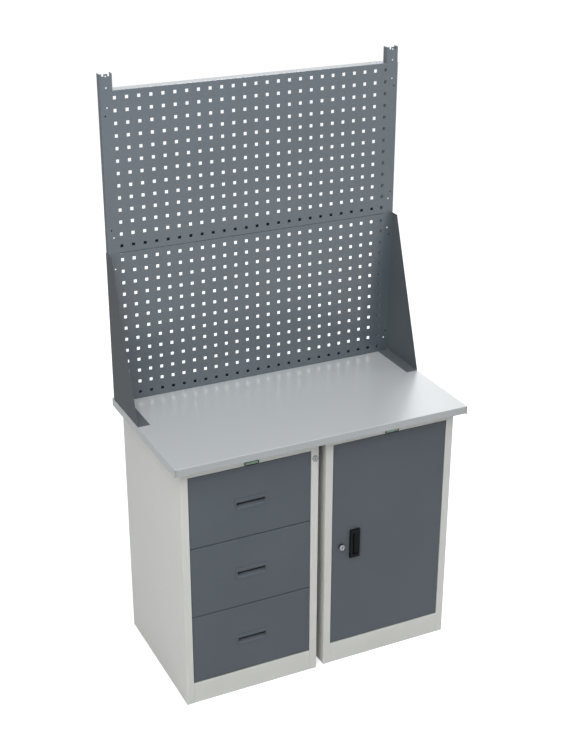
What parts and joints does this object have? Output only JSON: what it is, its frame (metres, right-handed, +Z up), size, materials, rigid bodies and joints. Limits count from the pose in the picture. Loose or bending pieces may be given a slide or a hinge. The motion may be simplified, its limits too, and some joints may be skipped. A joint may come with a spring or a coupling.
{
  "type": "workshop bench with drawers, cupboard and tool wall",
  "caption": "Steel workshop bench: drawer pedestal and door pedestal under a clad worktop, with a perforated tool wall on uprights.",
  "frame": {"origin": "on the floor, below the middle of the worktop", "axes": "+Z up, front of the bench towards -Y, +X to the right as seen from the front"},
  "size_m": [1.002, 0.55, 1.92],
  "materials": {
    "light_grey_paint": "light grey powder coat, satin",
    "dark_grey_paint": "dark grey powder coat, satin",
    "panel_paint": "mid grey powder coat, satin",
    "gusset_paint": "mid grey powder coat, dull",
    "zinc_steel": "zinc coated, dull",
    "nickel": "satin nickel plating",
    "black_plastic": "moulded, fine grain",
    "fibreboard": "pressed fibreboard, raw"
  },
  "bodies": {
    "bench": {"drawer_cabinet_left_side": "light_grey_paint", "drawer_cabinet_right_side": "light_grey_paint", "drawer_cabinet_back": "light_grey_paint", "drawer_cabinet_base": "light_grey_paint", "drawer_cabinet_top": "light_grey_paint", "door_cabinet_left_side": "light_grey_paint", "door_cabinet_right_side": "light_grey_paint", "door_cabinet_back": "light_grey_paint", "door_cabinet_base": "light_grey_paint", "door_cabinet_top": "light_grey_paint", "slide_carrier_left": "zinc_steel", "slide_carrier_right": "zinc_steel", "drawer_1_slide_fixed_left": "zinc_steel", "drawer_1_slide_fixed_right": "zinc_steel", "drawer_2_slide_fixed_left": "zinc_steel", "drawer_2_slide_fixed_right": "zinc_steel", "drawer_3_slide_fixed_left": "zinc_steel", "drawer_3_slide_fixed_right": "zinc_steel", "hinge_pin_lower": "zinc_steel", "hinge_pin_upper": "zinc_steel", "worktop_cover": "zinc_steel", "shelf": "light_grey_paint", "shelf_rail_left": "light_grey_paint", "shelf_rail_right": "light_grey_paint", "worktop_board": "fibreboard", "panel_lower": "panel_paint", "panel_upper": "panel_paint", "upright_left": "panel_paint", "upright_right": "panel_paint", "gusset_left": "gusset_paint", "gusset_right": "gusset_paint"},
    "drawer_1": {"drawer_1_front": "dark_grey_paint", "drawer_1_pull": "dark_grey_paint", "drawer_1_tray": "light_grey_paint", "drawer_1_slide_inner_left": "zinc_steel", "drawer_1_slide_inner_right": "zinc_steel"},
    "slide_1": {"drawer_1_slide_middle_left": "zinc_steel", "drawer_1_slide_middle_right": "zinc_steel"},
    "drawer_2": {"drawer_2_front": "dark_grey_paint", "drawer_2_pull": "dark_grey_paint", "drawer_2_tray": "light_grey_paint", "drawer_2_slide_inner_left": "zinc_steel", "drawer_2_slide_inner_right": "zinc_steel"},
    "slide_2": {"drawer_2_slide_middle_left": "zinc_steel", "drawer_2_slide_middle_right": "zinc_steel"},
    "drawer_3": {"drawer_3_front": "dark_grey_paint", "drawer_3_pull": "dark_grey_paint", "drawer_3_tray": "light_grey_paint", "drawer_3_slide_inner_left": "zinc_steel", "drawer_3_slide_inner_right": "zinc_steel"},
    "slide_3": {"drawer_3_slide_middle_left": "zinc_steel", "drawer_3_slide_middle_right": "zinc_steel"},
    "drawer_lock": {"drawer_lock_plug": "nickel"},
    "lock_bar": {"drawer_lock_bar": "zinc_steel"},
    "door": {"door_panel": "dark_grey_paint", "door_stiffener": "dark_grey_paint", "door_handle": "black_plastic"},
    "door_lock": {"door_lock_plug": "nickel"}
  },
  "joints": [
    {"name": "drawer_1_travel", "type": "slide", "parent": "bench", "child": "drawer_1", "axis": [0, -1, 0], "range_m": [0, 0.4]},
    {"name": "slide_1_travel", "type": "slide", "parent": "bench", "child": "slide_1", "axis": [0, -1, 0], "range_m": [0, 0.2]},
    {"name": "drawer_2_travel", "type": "slide", "parent": "bench", "child": "drawer_2", "axis": [0, -1, 0], "range_m": [0, 0.4]},
    {"name": "slide_2_travel", "type": "slide", "parent": "bench", "child": "slide_2", "axis": [0, -1, 0], "range_m": [0, 0.2]},
    {"name": "drawer_3_travel", "type": "slide", "parent": "bench", "child": "drawer_3", "axis": [0, -1, 0], "range_m": [0, 0.4]},
    {"name": "slide_3_travel", "type": "slide", "parent": "bench", "child": "slide_3", "axis": [0, -1, 0], "range_m": [0, 0.2]},
    {"name": "door_hinge", "type": "hinge", "parent": "bench", "child": "door", "pos_m": [0.442, -0.2325, 0.445], "axis": [0, 0, 1], "range_deg": [0, 105]},
    {"name": "door_lock_turn", "type": "hinge", "parent": "door", "child": "door_lock", "pos_m": [0.07475, -0.238, 0.439], "axis": [0, -1, 0], "range_deg": [0, 90]},
    {"name": "drawer_lock_turn", "type": "hinge", "parent": "bench", "child": "drawer_lock", "pos_m": [-0.027, -0.243, 0.788], "axis": [0, -1, 0], "range_deg": [0, 90]},
    {"name": "lock_bar_drop", "type": "slide", "parent": "bench", "child": "lock_bar", "axis": [0, 0, -1], "range_m": [0, 0.012]}
  ],
  "couplings": [
    {"joint": "slide_1_travel", "follows": "drawer_1_travel", "ratio": 0.5},
    {"joint": "slide_2_travel", "follows": "drawer_2_travel", "ratio": 0.5},
    {"joint": "slide_3_travel", "follows": "drawer_3_travel", "ratio": 0.5},
    {"joint": "drawer_lock_turn", "follows": "lock_bar_drop", "rad_per_m": 130.9}
  ]
}
